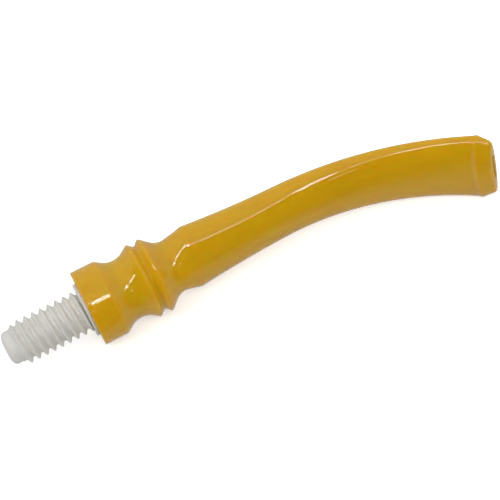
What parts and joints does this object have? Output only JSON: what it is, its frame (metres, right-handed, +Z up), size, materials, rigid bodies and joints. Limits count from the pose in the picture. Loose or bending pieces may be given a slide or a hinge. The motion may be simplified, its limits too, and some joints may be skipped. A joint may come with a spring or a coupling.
{
  "type": "bent pipe stem",
  "caption": "Bent pipe stem in glossy amber resin, with a turned collar and beads, a flattened bit with a raised lip, a white screw tenon and a thin seat ring",
  "frame": {"origin": "centre of the stem's collar face, on the tenon's axis", "axes": "+X along the tenon's axis towards the bit, the bit bends towards -Y, +Z up with the stem lying on its side, and the stem's shape is mirrored about the XY plane"},
  "size_m": [0.0919, 0.0231, 0.0142],
  "materials": {
    "amber_resin": "cast resin, polished to a gloss",
    "white_nylon": "machined nylon, satin"
  },
  "bodies": {
    "stem": {"stem": "amber_resin"},
    "ring": {"seat_ring": "white_nylon"},
    "tenon": {"screw_tenon": "white_nylon"}
  },
  "joints": [
    {"name": "ring_travel", "type": "slide", "parent": "stem", "child": "ring", "axis": [-1, 0, 0], "range_m": [0, 0.0105]},
    {"name": "tenon_turn", "type": "hinge", "parent": "ring", "child": "tenon", "pos_m": [0, 0, 0], "axis": [-1, 0, 0], "range_deg": [0, 2520]}
  ],
  "couplings": [
    {"joint": "tenon_turn", "follows": "ring_travel", "rad_per_m": 4188.8}
  ]
}
